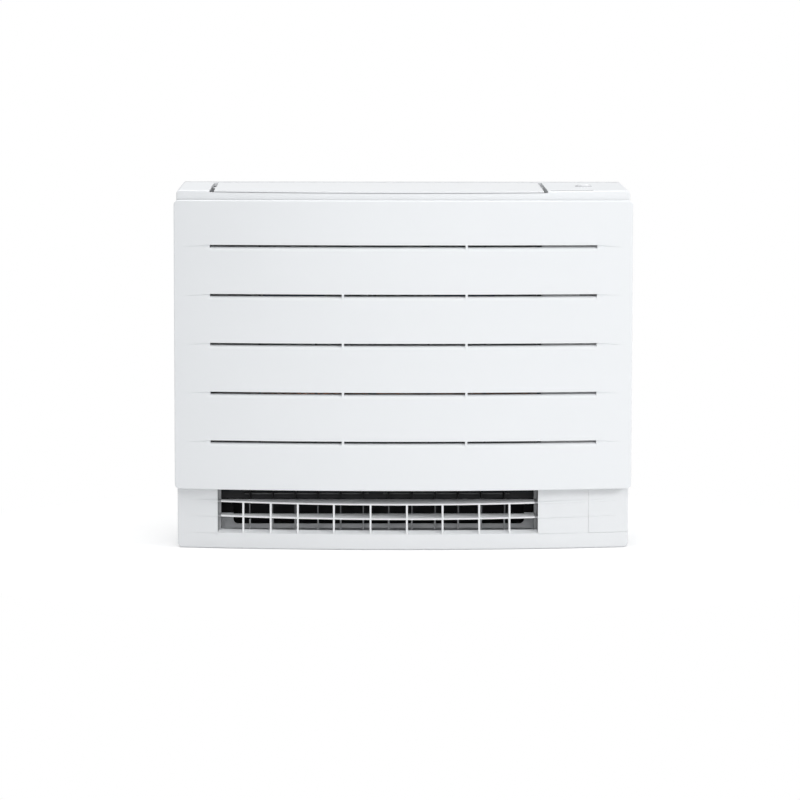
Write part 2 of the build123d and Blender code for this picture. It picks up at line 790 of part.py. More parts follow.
# ---------------------------------------------------------------- air duct (fan scroll)
with BuildPart() as fan_scroll:
    # Floor, rear wall and the rear of the upper duct, in one run
    with BuildSketch(Plane.YZ.offset(duct_left - 3)):
        with BuildLine():
            bend = 70.0
            inner_bend = CenterArc((duct_rear - bend, duct_floor + bend), bend, -90, 90)
            outer_bend = CenterArc((duct_rear - bend, duct_floor + bend), bend + 3, -90, 90)
            Polyline(
                inner_bend @ 1,
                (duct_rear, 500),
                (upper_rear, 508),
                (upper_rear, duct_top),
                (upper_rear + 3, duct_top),
                (upper_rear + 3, 509),
                (duct_rear + 3, 501),
                outer_bend @ 1,
            )
            Polyline(inner_bend @ 0, (duct_lip, duct_floor), (duct_lip, duct_floor - wall), outer_bend @ 0)
        make_face()
    extrude(amount=duct_right - duct_left + 6)
    # Ceiling of the lower duct, step up to the bell mouth, and the front of the upper duct
    box_between((duct_left - 3, -58.5, duct_ceiling), (duct_right + 3, -3, duct_ceiling + 3))
    with BuildSketch(Plane.XY.offset(duct_ceiling)):
        add(arc_band(duct_left - 3, duct_right + 3, case_inset + 15, 90))
        with Locations((0, -58 + 50)):
            Rectangle(2 * case_half, 100, mode=Mode.SUBTRACT)
    extrude(amount=3)
    box_between((duct_left - 3, duct_front - 3, duct_ceiling + 3), (duct_right + 3, duct_front, 127.8))
    with BuildSketch(Plane.YZ.offset(duct_left - 3)):
        with BuildLine():
            Polyline(
                (duct_front, 504.3),
                (duct_front, 508),
                (-68, duct_top),
                (-72, duct_top),
                (duct_front - 3, 507),
                (duct_front - 3, 504.3),
                close=True,
            )
        make_face()
    extrude(amount=duct_right - duct_left + 6)
    # End walls
    for wall_left in (duct_left - 3, duct_right):
        with BuildSketch(Plane.YZ.offset(wall_left)):
            with BuildLine():
                Polyline(
                    (duct_lip, base_top),
                    (duct_rear + 3, base_top),
                    (duct_rear + 3, 501),
                    (upper_rear + 3, 509),
                    (upper_rear + 3, duct_top),
                    (-72, duct_top),
                    (duct_front - 3, 507),
                    (duct_front, 504.3),
                    (duct_front, 127.8),
                    (duct_front - 3, 127.8),
                    (duct_front - 3, duct_ceiling + 3),
                    (-48, duct_ceiling + 3),
                    (-48, 94),
                    (duct_lip, 94),
                    close=True,
                )
            make_face()
        extrude(amount=3)
    # Mouth plate behind the lower vanes
    box_between((duct_left - 3, -6, duct_floor), (duct_right + 3, -3, duct_ceiling + 3))
    with BuildSketch(Plane.XZ.offset(10)):
        with Locations((-39.5, 52)):
            RectangleRounded(485, 40, 8)
    extrude(amount=-20, mode=Mode.SUBTRACT)
    # Hole for the motor, bores for the vanes' pivots and the damper's spindle
    with BuildSketch(Plane.XZ.offset(-duct_rear - 8)):
        with Locations((fan_x, fan_z)):
            Circle(73)
    extrude(amount=12, mode=Mode.SUBTRACT)
    with BuildSketch(Plane.XY.offset(duct_floor - 4)):
        for vane_x in left_vanes + right_vanes:
            with Locations((vane_x, vane_axis_y)):
                Circle(pin_radius + fit)
    extrude(amount=82, mode=Mode.SUBTRACT)
    damper_y = 48.0
    damper_z = 100.0
    with BuildSketch(Plane.YZ.offset(duct_left - 5)):
        with Locations((damper_y, damper_z)):
            Circle(2.5 + fit)
    extrude(amount=duct_right - duct_left + 10, mode=Mode.SUBTRACT)
    for vane_x in upper_vanes:
        with BuildSketch(Plane.XZ.offset(70)):
            with Locations((vane_x, upper_vane_z)):
                Circle(pin_radius + fit)
        extrude(amount=-180, mode=Mode.SUBTRACT)
fan_scroll.part.label = "fan_scroll"
export_step(fan_scroll.part, "parts/fan_scroll.step")

with BuildPart() as lower_damper:
    blade = Plane(origin=(0, damper_y, damper_z), x_dir=(1, 0, 0), z_dir=(0, -1, 1))
    with BuildSketch(blade.offset(-1.5)):
        with Locations(((duct_left + duct_right) / 2, 0)):
            Rectangle(duct_right - duct_left - 4, 90)
    extrude(amount=3)
    with BuildSketch(Plane.YZ.offset(duct_left - 3)):
        with Locations((damper_y, damper_z)):
            Circle(2.5)
    extrude(amount=duct_right - duct_left + 16)
lower_damper.part.label = "lower_damper"
export_step(lower_damper.part, "parts/lower_damper.step")

with BuildPart() as damper_motor:
    with Locations((duct_right + 10.1, damper_y, damper_z)):
        Box(13.8, 32, 32)
    fillet(damper_motor.edges().filter_by(Axis.X), 5)
    with BuildSketch(Plane.YZ.offset(duct_right)):
        with Locations((damper_y, damper_z)):
            Circle(2.5 + fit)
    extrude(amount=14, mode=Mode.SUBTRACT)
damper_motor.part.label = "damper_motor"
export_step(damper_motor.part, "parts/damper_motor.step")

# ---------------------------------------------------------------- vanes and their link bars
vane_bottom = 44.0
vane_top = duct_ceiling - 2
notch_low = 80.0
notch_high = 88.0
slot_length = 7.0
slot_shift = 1.6


def lower_vane(vane_x):
    # An upright vane on a long lower pivot and a short upper one, notched where its crank takes the link bar
    with BuildPart() as vane:
        box_between(
            (vane_x - vane_thickness / 2, vane_axis_y - 14, vane_bottom),
            (vane_x + vane_thickness / 2, vane_axis_y + 18, vane_top),
        )
        fillet(vane.edges().filter_by(Axis.X), 3)
        box_between(
            (vane_x - 5, vane_axis_y + 6, notch_low),
            (vane_x + 5, vane_axis_y + 20, notch_high),
            Mode.SUBTRACT,
        )
        with BuildSketch(Plane.XY.offset(notch_low - 4)):
            with Locations((vane_x, vane_axis_y + lever)):
                Circle(pin_radius)
        extrude(amount=notch_high - notch_low + 8)
        for low, high in ((duct_floor - 2.5, vane_bottom + 1), (vane_top - 1, duct_ceiling + 2.5)):
            with BuildSketch(Plane.XY.offset(low)):
                with Locations((vane_x, vane_axis_y)):
                    Circle(pin_radius)
            extrude(amount=high - low)
    return vane.part


def lower_link(places):
    # Flat bar through the vanes' notches, slotted fore and aft because the cranks swing on arcs
    with BuildPart() as link:
        with BuildSketch(Plane.XY.offset(notch_low + 3)):
            with BuildLine():
                Polyline(
                    (places[0] - 9, vane_axis_y + 8),
                    (places[-1] + 9, vane_axis_y + 8),
                    (places[-1] + 9, vane_axis_y + 16),
                    (places[0] - 9, vane_axis_y + 16),
                    close=True,
                )
            make_face()
            for vane_x in places:
                with Locations((vane_x, vane_axis_y + lever - slot_shift)):
                    Rectangle(2 * pin_radius + 0.8, slot_length, mode=Mode.SUBTRACT)
        extrude(amount=2.2)
    return link.part


def upper_vane(vane_x):
    # A vane across the upper duct, on pivots that run fore and aft
    with BuildPart() as vane:
        with BuildSketch(Plane.YZ.offset(vane_x - vane_thickness / 2)):
            with BuildLine():
                Polyline(
                    (-32, upper_vane_z - 16),
                    (88, upper_vane_z - 16),
                    (88, upper_vane_z + 14),
                    (-48, upper_vane_z + 14),
                    close=True,
                )
            make_face()
        extrude(amount=vane_thickness)
        box_between((vane_x - 5, 24, upper_vane_z - 20), (vane_x + 5, 32, upper_vane_z - 6), Mode.SUBTRACT)
        for low, high in ((upper_front, -36), (86, upper_rear + 2)):
            with BuildSketch(Plane.XZ.offset(-high)):
                with Locations((vane_x, upper_vane_z)):
                    Circle(pin_radius)
            extrude(amount=high - low)
        with BuildSketch(Plane.XZ.offset(-36)):
            with Locations((vane_x, upper_vane_z - lever)):
                Circle(pin_radius)
        extrude(amount=16)
    return vane.part


def upper_link(places):
    with BuildPart() as link:
        with BuildSketch(Plane.XZ.offset(-29)):
            with BuildLine():
                Polyline(
                    (places[0] - 9, upper_vane_z - lever - 4),
                    (places[-1] + 9, upper_vane_z - lever - 4),
                    (places[-1] + 9, upper_vane_z - lever + 4),
                    (places[0] - 9, upper_vane_z - lever + 4),
                    close=True,
                )
            make_face()
            for vane_x in places:
                with Locations((vane_x, upper_vane_z - lever + slot_shift)):
                    Rectangle(2 * pin_radius + 0.8, slot_length, mode=Mode.SUBTRACT)
        extrude(amount=2.2)
    return link.part


for group, places in (("left", left_vanes), ("right", right_vanes)):
    for number, vane_x in enumerate(places, start=1):
        piece = lower_vane(vane_x)
        piece.label = f"{group}_vane_{number}"
        export_step(piece, f"parts/{group}_vane_{number}.step")
    bar = lower_link(places)
    bar.label = f"{group}_link_bar"
    export_step(bar, f"parts/{group}_link_bar.step")

for number, vane_x in enumerate(upper_vanes, start=1):
    piece = upper_vane(vane_x)
    piece.label = f"upper_vane_{number}"
    export_step(piece, f"parts/upper_vane_{number}.step")
upper_bar = upper_link(upper_vanes)
upper_bar.label = "upper_link_bar"
export_step(upper_bar, "parts/upper_link_bar.step")

# ---------------------------------------------------------------- fan, shaft, nut and motor
fan_back = 55.0
fan_front = -15.0
fan_plane = Plane(origin=(fan_x, 0, fan_z), x_dir=(1, 0, 0), z_dir=(0, -1, 0))
fan_axis = Axis((fan_x, 0, fan_z), (0, 1, 0))
cone_radius = motor_radius + 12

with BuildPart() as turbo_fan:
    # Back plate, cone over the motor and hub, turned about the shaft
    with BuildSketch(Plane(origin=(fan_x, 0, fan_z), x_dir=(1, 0, 0), z_dir=(0, 0, 1))):
        with BuildLine():
            Polyline(
                (shaft_radius + 0.02, 2),
                (11, 2),
                (11, 12),
                (cone_radius - 22, 12),
                (cone_radius, fan_back - 3),
                (fan_radius - 4, fan_back - 3),
                (fan_radius - 4, fan_back),
                (cone_radius - 2, fan_back),
                (cone_radius - 24, 15),
                (14, 15),
                (11, 26),
                (shaft_radius + 0.02, 26),
                close=True,
            )
        make_face()
    revolve(axis=fan_axis, revolution_arc=360)
    # Front ring
    with BuildSketch(Plane(origin=(fan_x, 0, fan_z), x_dir=(1, 0, 0), z_dir=(0, 0, 1))):
        with BuildLine():
            Polyline(
                (118, fan_front - 3),
                (121, fan_front - 3),
                (126, fan_front + 1),
                (fan_radius, fan_front + 10),
                (fan_radius, fan_front + 13),
                (125, fan_front + 4),
                (118, fan_front + 1),
                close=True,
            )
        make_face()
    revolve(axis=fan_axis, revolution_arc=360)
    # Backward-curved blades
    with BuildSketch(fan_plane.offset(-fan_back + 1)):
        with PolarLocations(0, 9):
            with BuildLine():
                outside = ThreePointArc((104, -6), (134, 14), (152, 46))
                inside = ThreePointArc((101, -4.5), (131, 16), (149, 47))
                Line(outside @ 0, inside @ 0)
                Line(outside @ 1, inside @ 1)
            make_face()
    extrude(amount=fan_back - fan_front - 7)
turbo_fan.part.label = "turbo_fan"
export_step(turbo_fan.part, "parts/turbo_fan.step")

with BuildPart() as motor_shaft:
    with BuildSketch(fan_plane.offset(-60)):
        Circle(shaft_radius)
    extrude(amount=72)
    fillet(motor_shaft.faces().sort_by(Axis.Y)[0].edges(), 0.8)
motor_shaft.part.label = "motor_shaft"
export_step(motor_shaft.part, "parts/motor_shaft.step")

with BuildPart() as fan_nut:
    with BuildSketch(fan_plane.offset(-1.9)):
        RegularPolygon(8, 6)
        Circle(shaft_radius + 0.02, mode=Mode.SUBTRACT)
    extrude(amount=7)
fan_nut.part.label = "fan_nut"
export_step(fan_nut.part, "parts/fan_nut.step")

with BuildPart() as fan_motor:
    with BuildSketch(fan_plane.offset(-92)):
        Circle(motor_radius)
    extrude(amount=48)
    with BuildSketch(fan_plane.offset(-44)):
        Circle(26)
    extrude(amount=12)
    fillet(fan_motor.edges().filter_by(GeomType.CIRCLE).filter_by(lambda e: e.radius > 50), 4)
    with BuildSketch(fan_plane.offset(-62)):
        Circle(shaft_radius + fit)
    extrude(amount=40, mode=Mode.SUBTRACT)
    # Lugs for the bracket
    with BuildSketch(fan_plane.offset(-92)):
        with PolarLocations(lug_circle, 3, start_angle=90):
            Circle(8)
    extrude(amount=5)
    with BuildSketch(fan_plane.offset(-93)):
        with PolarLocations(lug_circle, 3, start_angle=90):
            Circle(2.6)
    extrude(amount=8, mode=Mode.SUBTRACT)
fan_motor.part.label = "fan_motor"
export_step(fan_motor.part, "parts/fan_motor.step")

with BuildPart() as motor_bracket:
    # Flat ring between the chassis's studs and the motor's lugs
    with BuildSketch(fan_plane.offset(-bracket_rear)):
        Circle(72)
        Circle(46, mode=Mode.SUBTRACT)
    extrude(amount=2)
    with BuildSketch(fan_plane.offset(-101.6)):
        with PolarLocations(lug_circle, 3, start_angle=90):
            Circle(8)
    extrude(amount=9.5)
    with BuildSketch(fan_plane.offset(-92.2)):
        with PolarLocations(lug_circle, 3, start_angle=90):
            Circle(2.4)
    extrude(amount=9)
motor_bracket.part.label = "motor_bracket"
export_step(motor_bracket.part, "parts/motor_bracket.step")

# ---------------------------------------------------------------- bell mouth
with BuildPart() as bell_mouth:
    box_between((coil_left - 5, duct_front - 3, 128), (coil_right + 3, duct_front, 504))
    with BuildSketch(fan_plane):
        Circle(116)
    extrude(amount=40, mode=Mode.SUBTRACT)
    with BuildSketch(Plane(origin=(fan_x, 0, fan_z), x_dir=(1, 0, 0), z_dir=(0, 0, 1))):
        with BuildLine():
            flare = CenterArc((120, duct_front + 5), 8, 180, 90)
            flare_in = CenterArc((120, duct_front + 5), 5.5, 180, 90)
            Line(flare @ 0, flare_in @ 0)
            Line(flare @ 1, flare_in @ 1)
        make_face()
    revolve(axis=fan_axis, revolution_arc=360)
bell_mouth.part.label = "bell_mouth"
export_step(bell_mouth.part, "parts/bell_mouth.step")

# ---------------------------------------------------------------- heat exchanger
pan_floor = 105.0
pan_bottom = 102.2
pan_front = -62.5
pan_rear = -26.0
pan_right = 272.0
fin_pitch = 4.0
with BuildPart() as fin_pack:
    box_between((coil_left, coil_front, coil_bottom), (coil_right, coil_rear, coil_top))
    groove_count = int((coil_right - coil_left) / fin_pitch) - 1
    with BuildSketch(Plane.XZ.offset(-coil_front)):
        with Locations(((coil_left + coil_right) / 2, (coil_bottom + coil_top) / 2)):
            with GridLocations(fin_pitch, 1, groove_count, 1):
                Rectangle(2.4, coil_top - coil_bottom + 2)
    extrude(amount=-3.2, mode=Mode.SUBTRACT)
    with BuildSketch(Plane.YZ.offset(coil_left - 5)):
        for row in tube_rows:
            for level in tube_levels:
                with Locations((row, level)):
                    Circle(tube_radius + fit)
    extrude(amount=coil_right - coil_left + 10, mode=Mode.SUBTRACT)
fin_pack.part.label = "fin_pack"
export_step(fin_pack.part, "parts/fin_pack.step")

with BuildPart() as coil_end_plates:
    for plate_left in (coil_left - 2.2, coil_right + 0.7):
        box_between(
            (plate_left, coil_front - 2, pan_floor), (plate_left + 1.5, coil_rear + 2, coil_top + 2)
        )
    with BuildSketch(Plane.YZ.offset(coil_left - 5)):
        for row in tube_rows:
            for level in tube_levels:
                with Locations((row, level)):
                    Circle(tube_radius + 0.15)
    extrude(amount=coil_right - coil_left + 12, mode=Mode.SUBTRACT)
coil_end_plates.part.label = "coil_end_plates"
export_step(coil_end_plates.part, "parts/coil_end_plates.step")

tube_left = coil_left - 5
tube_right = coil_right + 5
with BuildPart() as coil_tubes:
    for row in tube_rows:
        with BuildSketch(Plane.YZ.offset(tube_left)):
            for level in tube_levels:
                with Locations((row, level)):
                    Circle(tube_radius)
        extrude(amount=tube_right - tube_left)
        for number, (low, high) in enumerate(zip(tube_levels, tube_levels[1:])):
            end_x = tube_left if number % 2 == 0 else tube_right
            with BuildSketch(Plane.YZ.offset(end_x)):
                with Locations((row, low)):
                    Circle(tube_radius)
            turn_way = 1 if number % 2 == 0 else -1
            revolve(axis=Axis((end_x, row, (low + high) / 2), (0, turn_way, 0)), revolution_arc=180)
coil_tubes.part.label = "coil_tubes"
export_step(coil_tubes.part, "parts/coil_tubes.step")


pipe_back = 96.0
union_length = 20.0
union_wall = 1.4


def bent_pipe(points, bend, outer, inner):
    # A copper pipe along straight runs and quarter bends
    with BuildPart() as pipe:
        with BuildLine() as route:
            FilletPolyline(*points, radius=bend)
        with BuildSketch(Plane(origin=route.line @ 0, z_dir=route.line % 0)):
            Circle(outer)
            Circle(inner, mode=Mode.SUBTRACT)
        sweep()
        # Union at the free end, over which the house's pipe is joined
        with BuildSketch(Plane(origin=route.line @ 1, z_dir=route.line % 1)):
            Circle(outer + union_wall)
            Circle(inner, mode=Mode.SUBTRACT)
        extrude(amount=-union_length)
    return pipe.part


liquid_x = 303.0
liquid_z = 62.0
gas_x = 325.0
gas_z = 86.0
liquid_route = [
    (tube_right + 0.5, tube_rows[0], tube_levels[0]),
    (liquid_x, tube_rows[0], tube_levels[0]),
    (liquid_x, tube_rows[0], liquid_z),
    (liquid_x, pipe_back, liquid_z),
]
gas_route = [
    (tube_right + 0.5, tube_rows[1], tube_levels[-1]),
    (gas_x, tube_rows[1], tube_levels[-1]),
    (gas_x, tube_rows[1], gas_z),
    (gas_x, pipe_back, gas_z),
]
liquid_pipe = bent_pipe(liquid_route, 12, 3.175, 2.375)
liquid_pipe.label = "liquid_pipe"
export_step(liquid_pipe, "parts/liquid_pipe.step")
gas_pipe = bent_pipe(gas_route, 14, 4.76, 3.96)
gas_pipe.label = "gas_pipe"
export_step(gas_pipe, "parts/gas_pipe.step")

with BuildPart() as flare_nuts:
    for nut_x, nut_z, flat, bore in ((liquid_x, liquid_z, 8.5, 3.3), (gas_x, gas_z, 11.0, 4.9)):
        with BuildSketch(Plane.XZ.offset(-50)):
            with Locations((nut_x, nut_z)):
                RegularPolygon(flat, 6, major_radius=False)
                Circle(bore, mode=Mode.SUBTRACT)
        extrude(amount=-18)
flare_nuts.part.label = "flare_nuts"
export_step(flare_nuts.part, "parts/flare_nuts.step")

# ---------------------------------------------------------------- drain pan and spout
with BuildPart() as drain_pan:
    box_between((coil_left - 5, pan_front, pan_bottom), (pan_right, pan_rear, 128))
    box_between(
        (coil_left - 3, pan_front + 1.5, pan_floor),
        (pan_right - 2, pan_rear - 2, 131),
        Mode.SUBTRACT,
    )
    fillet(drain_pan.edges().filter_by(Axis.Z).filter_by(lambda e: e.center().Y < pan_front + 1), 1.2)
    with BuildSketch(Plane.XZ.offset(-pan_rear)):
        with Locations((spout_x, spout_z)):
            Circle(spout_radius - 2)
    extrude(amount=10, mode=Mode.SUBTRACT)
drain_pan.part.label = "drain_pan"
export_step(drain_pan.part, "parts/drain_pan.step")

with BuildPart() as drain_spout:
    with BuildSketch(Plane.XZ.offset(-pan_rear - 0.2)):
        with Locations((spout_x, spout_z)):
            Circle(spout_radius + 2)
    extrude(amount=-2)
    with BuildSketch(Plane.XZ.offset(-pan_rear - 0.2)):
        with Locations((spout_x, spout_z)):
            Circle(spout_radius)
    extrude(amount=-46)
    with BuildSketch(Plane.XZ.offset(-pan_rear)):
        with Locations((spout_x, spout_z)):
            Circle(spout_radius - 2)
    extrude(amount=-60, mode=Mode.SUBTRACT)
drain_spout.part.label = "drain_spout"
export_step(drain_spout.part, "parts/drain_spout.step")

# ---------------------------------------------------------------- filters
filter_middle = (intake_left + intake_right) / 2
filter_bottom = 132.0
filter_top = 503.0


def filter_frame(left, right):
    # Frame, ribs and a thin sheet that stands for the mesh
    with BuildPart() as panel:
        box_between((left, filter_front, filter_bottom), (right, filter_rear, filter_top))
        columns = 3
        rows = 5
        gap_x = (right - left - 12 - 3 * (columns - 1)) / columns
        gap_z = (filter_top - filter_bottom - 12 - 3 * (rows - 1)) / rows
        with BuildSketch(Plane.XZ.offset(-filter_front + 1)):
            with Locations(((left + right) / 2, (filter_bottom + filter_top) / 2)):
                with GridLocations(gap_x + 3, gap_z + 3, columns, rows):
                    RectangleRounded(gap_x, gap_z, 3)
        extrude(amount=-(filter_rear - filter_front) - 2, mode=Mode.SUBTRACT)
        mid = (filter_front + filter_rear) / 2
        box_between((left + 2, mid - 0.3, filter_bottom + 2), (right - 2, mid + 0.3, filter_top - 2))
        # Pull tab at the head
        tab = (left + right) / 2
        box_between((tab - 15, filter_front - 5, filter_top - 4), (tab + 15, filter_front, filter_top - 2))
    return panel.part


for name, left, right in (
    ("left_filter", intake_left + 2.5, filter_middle - 0.5),
    ("right_filter", filter_middle + 0.5, intake_right - 2.5),
):
    frame = filter_frame(left, right)
    frame.label = name
    export_step(frame, f"parts/{name}.step")

with BuildPart() as filter_cartridges:
    for left in (-230, 50):
        box_between((left, filter_rear, 380), (left + 100, filter_rear + 3.4, 430))
        with BuildSketch(Plane.XZ.offset(-filter_rear - 1)):
            with Locations((left + 50, 405)):
                with GridLocations(15, 14, 6, 3):
                    Rectangle(12, 11)
        extrude(amount=-2.4, mode=Mode.SUBTRACT)
filter_cartridges.part.label = "filter_cartridges"
export_step(filter_cartridges.part, "parts/filter_cartridges.step")

# ---------------------------------------------------------------- electrical box
with BuildPart() as electrical_box:
    box_between((242.2, -30, 250), (338, 70, 500))
    box_between((244.2, -32, 252), (336, 68, 498), Mode.SUBTRACT)
    for hole_z in (262, 488):
        with BuildSketch(Plane.YZ.offset(330)):
            with Locations((30, hole_z)):
                Circle(5)
        extrude(amount=12, mode=Mode.SUBTRACT)
electrical_box.part.label = "electrical_box"
export_step(electrical_box.part, "parts/electrical_box.step")

with BuildPart() as electrical_lid:
    box_between((241.4, -32.4, 249), (339, -30.3, 501))
    box_between((244.6, -30.3, 252.4), (335.6, -28.3, 497.6))
    box_between((246.6, -30.3, 254.4), (333.6, -28, 495.6), Mode.SUBTRACT)
electrical_lid.part.label = "electrical_lid"
export_step(electrical_lid.part, "parts/electrical_lid.step")

with BuildPart() as control_board:
    box_between((255, 58, 300), (333, 59.6, 492))
    box_between((262, 36, 320), (290, 58, 350))
    box_between((300, 30, 330), (326, 58, 372))
    for capacitor_x, capacitor_z in ((268, 380), (290, 392), (268, 420)):
        with BuildSketch(Plane.XZ.offset(-58)):
            with Locations((capacitor_x, capacitor_z)):
                Circle(9)
        extrude(amount=26)
    box_between((300, 50, 400), (328, 58, 440))
    box_between((262, 52, 446), (326, 58, 480))
    for post_x in (259, 329):
        for post_z in (304, 488):
            with BuildSketch(Plane.XZ.offset(-68)):
                with Locations((post_x, post_z)):
                    Circle(2.5)
            extrude(amount=8.4)
control_board.part.label = "control_board"
export_step(control_board.part, "parts/control_board.step")

with BuildPart() as terminal_block:
    box_between((262, 46, 258), (326, 68, 290))
    with BuildSketch(Plane.XZ.offset(-46)):
        with Locations((294, 274)):
            with GridLocations(12.4, 16, 5, 2):
                Circle(3.6)
    extrude(amount=-7, mode=Mode.SUBTRACT)
terminal_block.part.label = "terminal_block"
export_step(terminal_block.part, "parts/terminal_block.step")
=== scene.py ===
import json
import math

import bmesh
import bpy
from mathutils import Matrix, Vector


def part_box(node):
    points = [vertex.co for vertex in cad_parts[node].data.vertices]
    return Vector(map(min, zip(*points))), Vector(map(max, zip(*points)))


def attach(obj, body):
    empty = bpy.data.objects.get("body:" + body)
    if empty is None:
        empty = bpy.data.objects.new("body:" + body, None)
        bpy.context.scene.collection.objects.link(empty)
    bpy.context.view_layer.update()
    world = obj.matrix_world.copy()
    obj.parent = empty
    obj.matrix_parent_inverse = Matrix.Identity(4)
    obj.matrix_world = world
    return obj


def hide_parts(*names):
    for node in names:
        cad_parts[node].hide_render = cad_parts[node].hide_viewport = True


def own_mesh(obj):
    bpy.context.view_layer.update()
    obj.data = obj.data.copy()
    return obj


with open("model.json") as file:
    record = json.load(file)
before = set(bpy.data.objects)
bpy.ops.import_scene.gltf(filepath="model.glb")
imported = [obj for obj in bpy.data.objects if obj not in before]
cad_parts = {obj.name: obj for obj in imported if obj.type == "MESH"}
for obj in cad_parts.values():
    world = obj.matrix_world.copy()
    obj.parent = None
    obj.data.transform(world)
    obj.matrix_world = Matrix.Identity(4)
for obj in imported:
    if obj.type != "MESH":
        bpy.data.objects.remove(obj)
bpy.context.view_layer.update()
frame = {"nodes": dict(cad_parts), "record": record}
nodes = frame["nodes"]
scene = bpy.context.scene
print("frame loaded:", len(nodes), "nodes")


class Level:
    # a shader socket that can be used in sums

    def __init__(self, finish, socket):
        self.finish = finish
        self.socket = socket

    def __add__(self, other):
        return self.finish.calculate("ADD", self, other)

    def __radd__(self, other):
        return self.finish.calculate("ADD", other, self)

    def __sub__(self, other):
        return self.finish.calculate("SUBTRACT", self, other)

    def __rsub__(self, other):
        return self.finish.calculate("SUBTRACT", other, self)

    def __mul__(self, other):
        return self.finish.calculate("MULTIPLY", self, other)

    def __rmul__(self, other):
        return self.finish.calculate("MULTIPLY", other, self)


class Finish:
    # one material: a Principled shader, with its own even values set on the shader itself

    def __init__(self, name, **even):
        self.material = bpy.data.materials.new(name)
        self.material.use_nodes = True
        self.tree = self.material.node_tree
        self.tree.nodes.clear()
        self.output = self.tree.nodes.new("ShaderNodeOutputMaterial")
        self.shader = self.tree.nodes.new("ShaderNodeBsdfPrincipled")
        self.tree.links.new(self.shader.outputs[0], self.output.inputs["Surface"])
        for label, value in even.items():
            self.shader.inputs[label.replace("_", " ")].default_value = value

    def feed(self, socket, value):
        if isinstance(value, Level):
            self.tree.links.new(value.socket, socket)
        else:
            socket.default_value = value

    def add(self, kind, settings=None, inputs=None, output=0):
        node = self.tree.nodes.new(kind)
        for label, value in (settings or {}).items():
            if label == "stops":
                ramp = node.color_ramp
                while len(ramp.elements) < len(value):
                    ramp.elements.new(0.5)
                for stop, (place, colour) in zip(ramp.elements, value):
                    stop.position = place
                    stop.color = colour
            else:
                setattr(node, label, value)
        for label, value in (inputs or {}).items():
            self.feed(node.inputs[label], value)
        return Level(self, node.outputs[output])

    def calculate(self, operation, first, second=0.0):
        return self.add("ShaderNodeMath", {"operation": operation}, {0: first, 1: second})

    def below(self, value, limit):
        # 1 where the value is under the limit, and 0 elsewhere
        return self.calculate("LESS_THAN", value, limit)

    def calculateVector(self, operation, first, second=(0.0, 0.0, 0.0), output=0):
        return self.add("ShaderNodeVectorMath", {"operation": operation}, {0: first, 1: second}, output)

    def place(self):
        # the frame's own metres
        return self.add("ShaderNodeTexCoord", output="Object")

    def along(self, axis):
        return self.add("ShaderNodeSeparateXYZ", {}, {0: self.place()}, axis)

    def noise(self, scale, detail=2.0, place=None):
        inputs = {"Scale": scale, "Detail": detail, "Vector": place or self.place()}
        return self.add("ShaderNodeTexNoise", {}, inputs)

    def blendColours(self, share, first, second):
        # a Mix node's colour inputs are at 6 and 7, and its colour result is at 2
        return self.add("ShaderNodeMix", {"data_type": "RGBA"}, {0: share, 6: first, 7: second}, 2)

    def mottled(self, colour, scale, detail, spread):
        # the colour, a little darker in some places and lighter in others
        drift = self.noise(scale, detail)
        return self.blendColours(drift, shaded(colour, 1 - spread), shaded(colour, 1 + spread))

    def ramp(self, value, stops):
        return self.add("ShaderNodeValToRGB", {"stops": stops}, {"Fac": value})

    def bump(self, height, strength, distance):
        inputs = {"Height": height, "Strength": strength, "Distance": distance}
        self.feed(self.shader.inputs["Normal"], self.add("ShaderNodeBump", {}, inputs))

    def colour(self, value):
        self.feed(self.shader.inputs["Base Color"], value)

    def rough(self, value):
        self.feed(self.shader.inputs["Roughness"], value)


def opaque(colour):
    return (colour[0], colour[1], colour[2], 1.0)


def shaded(colour, factor):
    return (colour[0] * factor, colour[1] * factor, colour[2] * factor, 1.0)


# mould grain: noise scales of its glossier patches and its pores, the gloss's swing, and the depth in metres
paleMould = {"patches": 55.0, "swing": 0.06, "pores": 1500.0, "depth": 0.0002}
darkMould = {"patches": 140.0, "swing": 0.12, "pores": 1100.0, "depth": 0.0002}
ductMould = {**darkMould, "swing": 0.10}
evenSpread = 0.012


def grained(finish, mould, roughness, grain):
    swing = mould["swing"]
    finish.rough(roughness - swing / 2 + finish.noise(mould["patches"], 3.0) * swing)
    finish.bump(finish.noise(mould["pores"], 2.0), grain, mould["depth"])


def mouldedPlastic(name, colour, roughness=0.42, grain=0.05, spread=evenSpread, **even):
    # mould grain over a slow drift of tone
    finish = Finish(name, IOR=1.46, **even)
    finish.colour(finish.mottled(colour, 4.0, 3.0, spread))
    grained(finish, paleMould, roughness, grain)
    return finish.material


# the ring round the button, in metres
ringPlan = {"centre": (0.3006, 0.021, 0.5943), "radius": 0.0144}


def casingPlastic(name, colour, ringTone):
    # the same plastic, with the ring round the button darkened
    finish = Finish(name, IOR=1.46)
    away = finish.calculateVector("DISTANCE", finish.place(), ringPlan["centre"], "Value")
    inRing = finish.below(away, ringPlan["radius"])
    even = finish.mottled(colour, 4.0, 3.0, evenSpread)
    finish.colour(finish.blendColours(inRing, even, opaque(ringTone)))
    grained(finish, paleMould, 0.42, 0.05)
    return finish.material


def darkPlastic(name, colour, roughness=0.5, grain=0.12):
    finish = Finish(name, IOR=1.45)
    finish.colour(finish.mottled(colour, 18.0, 4.0, 0.14))
    grained(finish, darkMould, roughness, grain)
    return finish.material


# just behind the mouth plate, the tops of the pale foot and of the black stretch of painted shade over it,
# and the foot of the upper throat's painted light
ductZones = {"plateRear": -0.0028, "paleTop": 0.0505, "shadeBandTop": 0.0745, "throatFoot": 0.503}


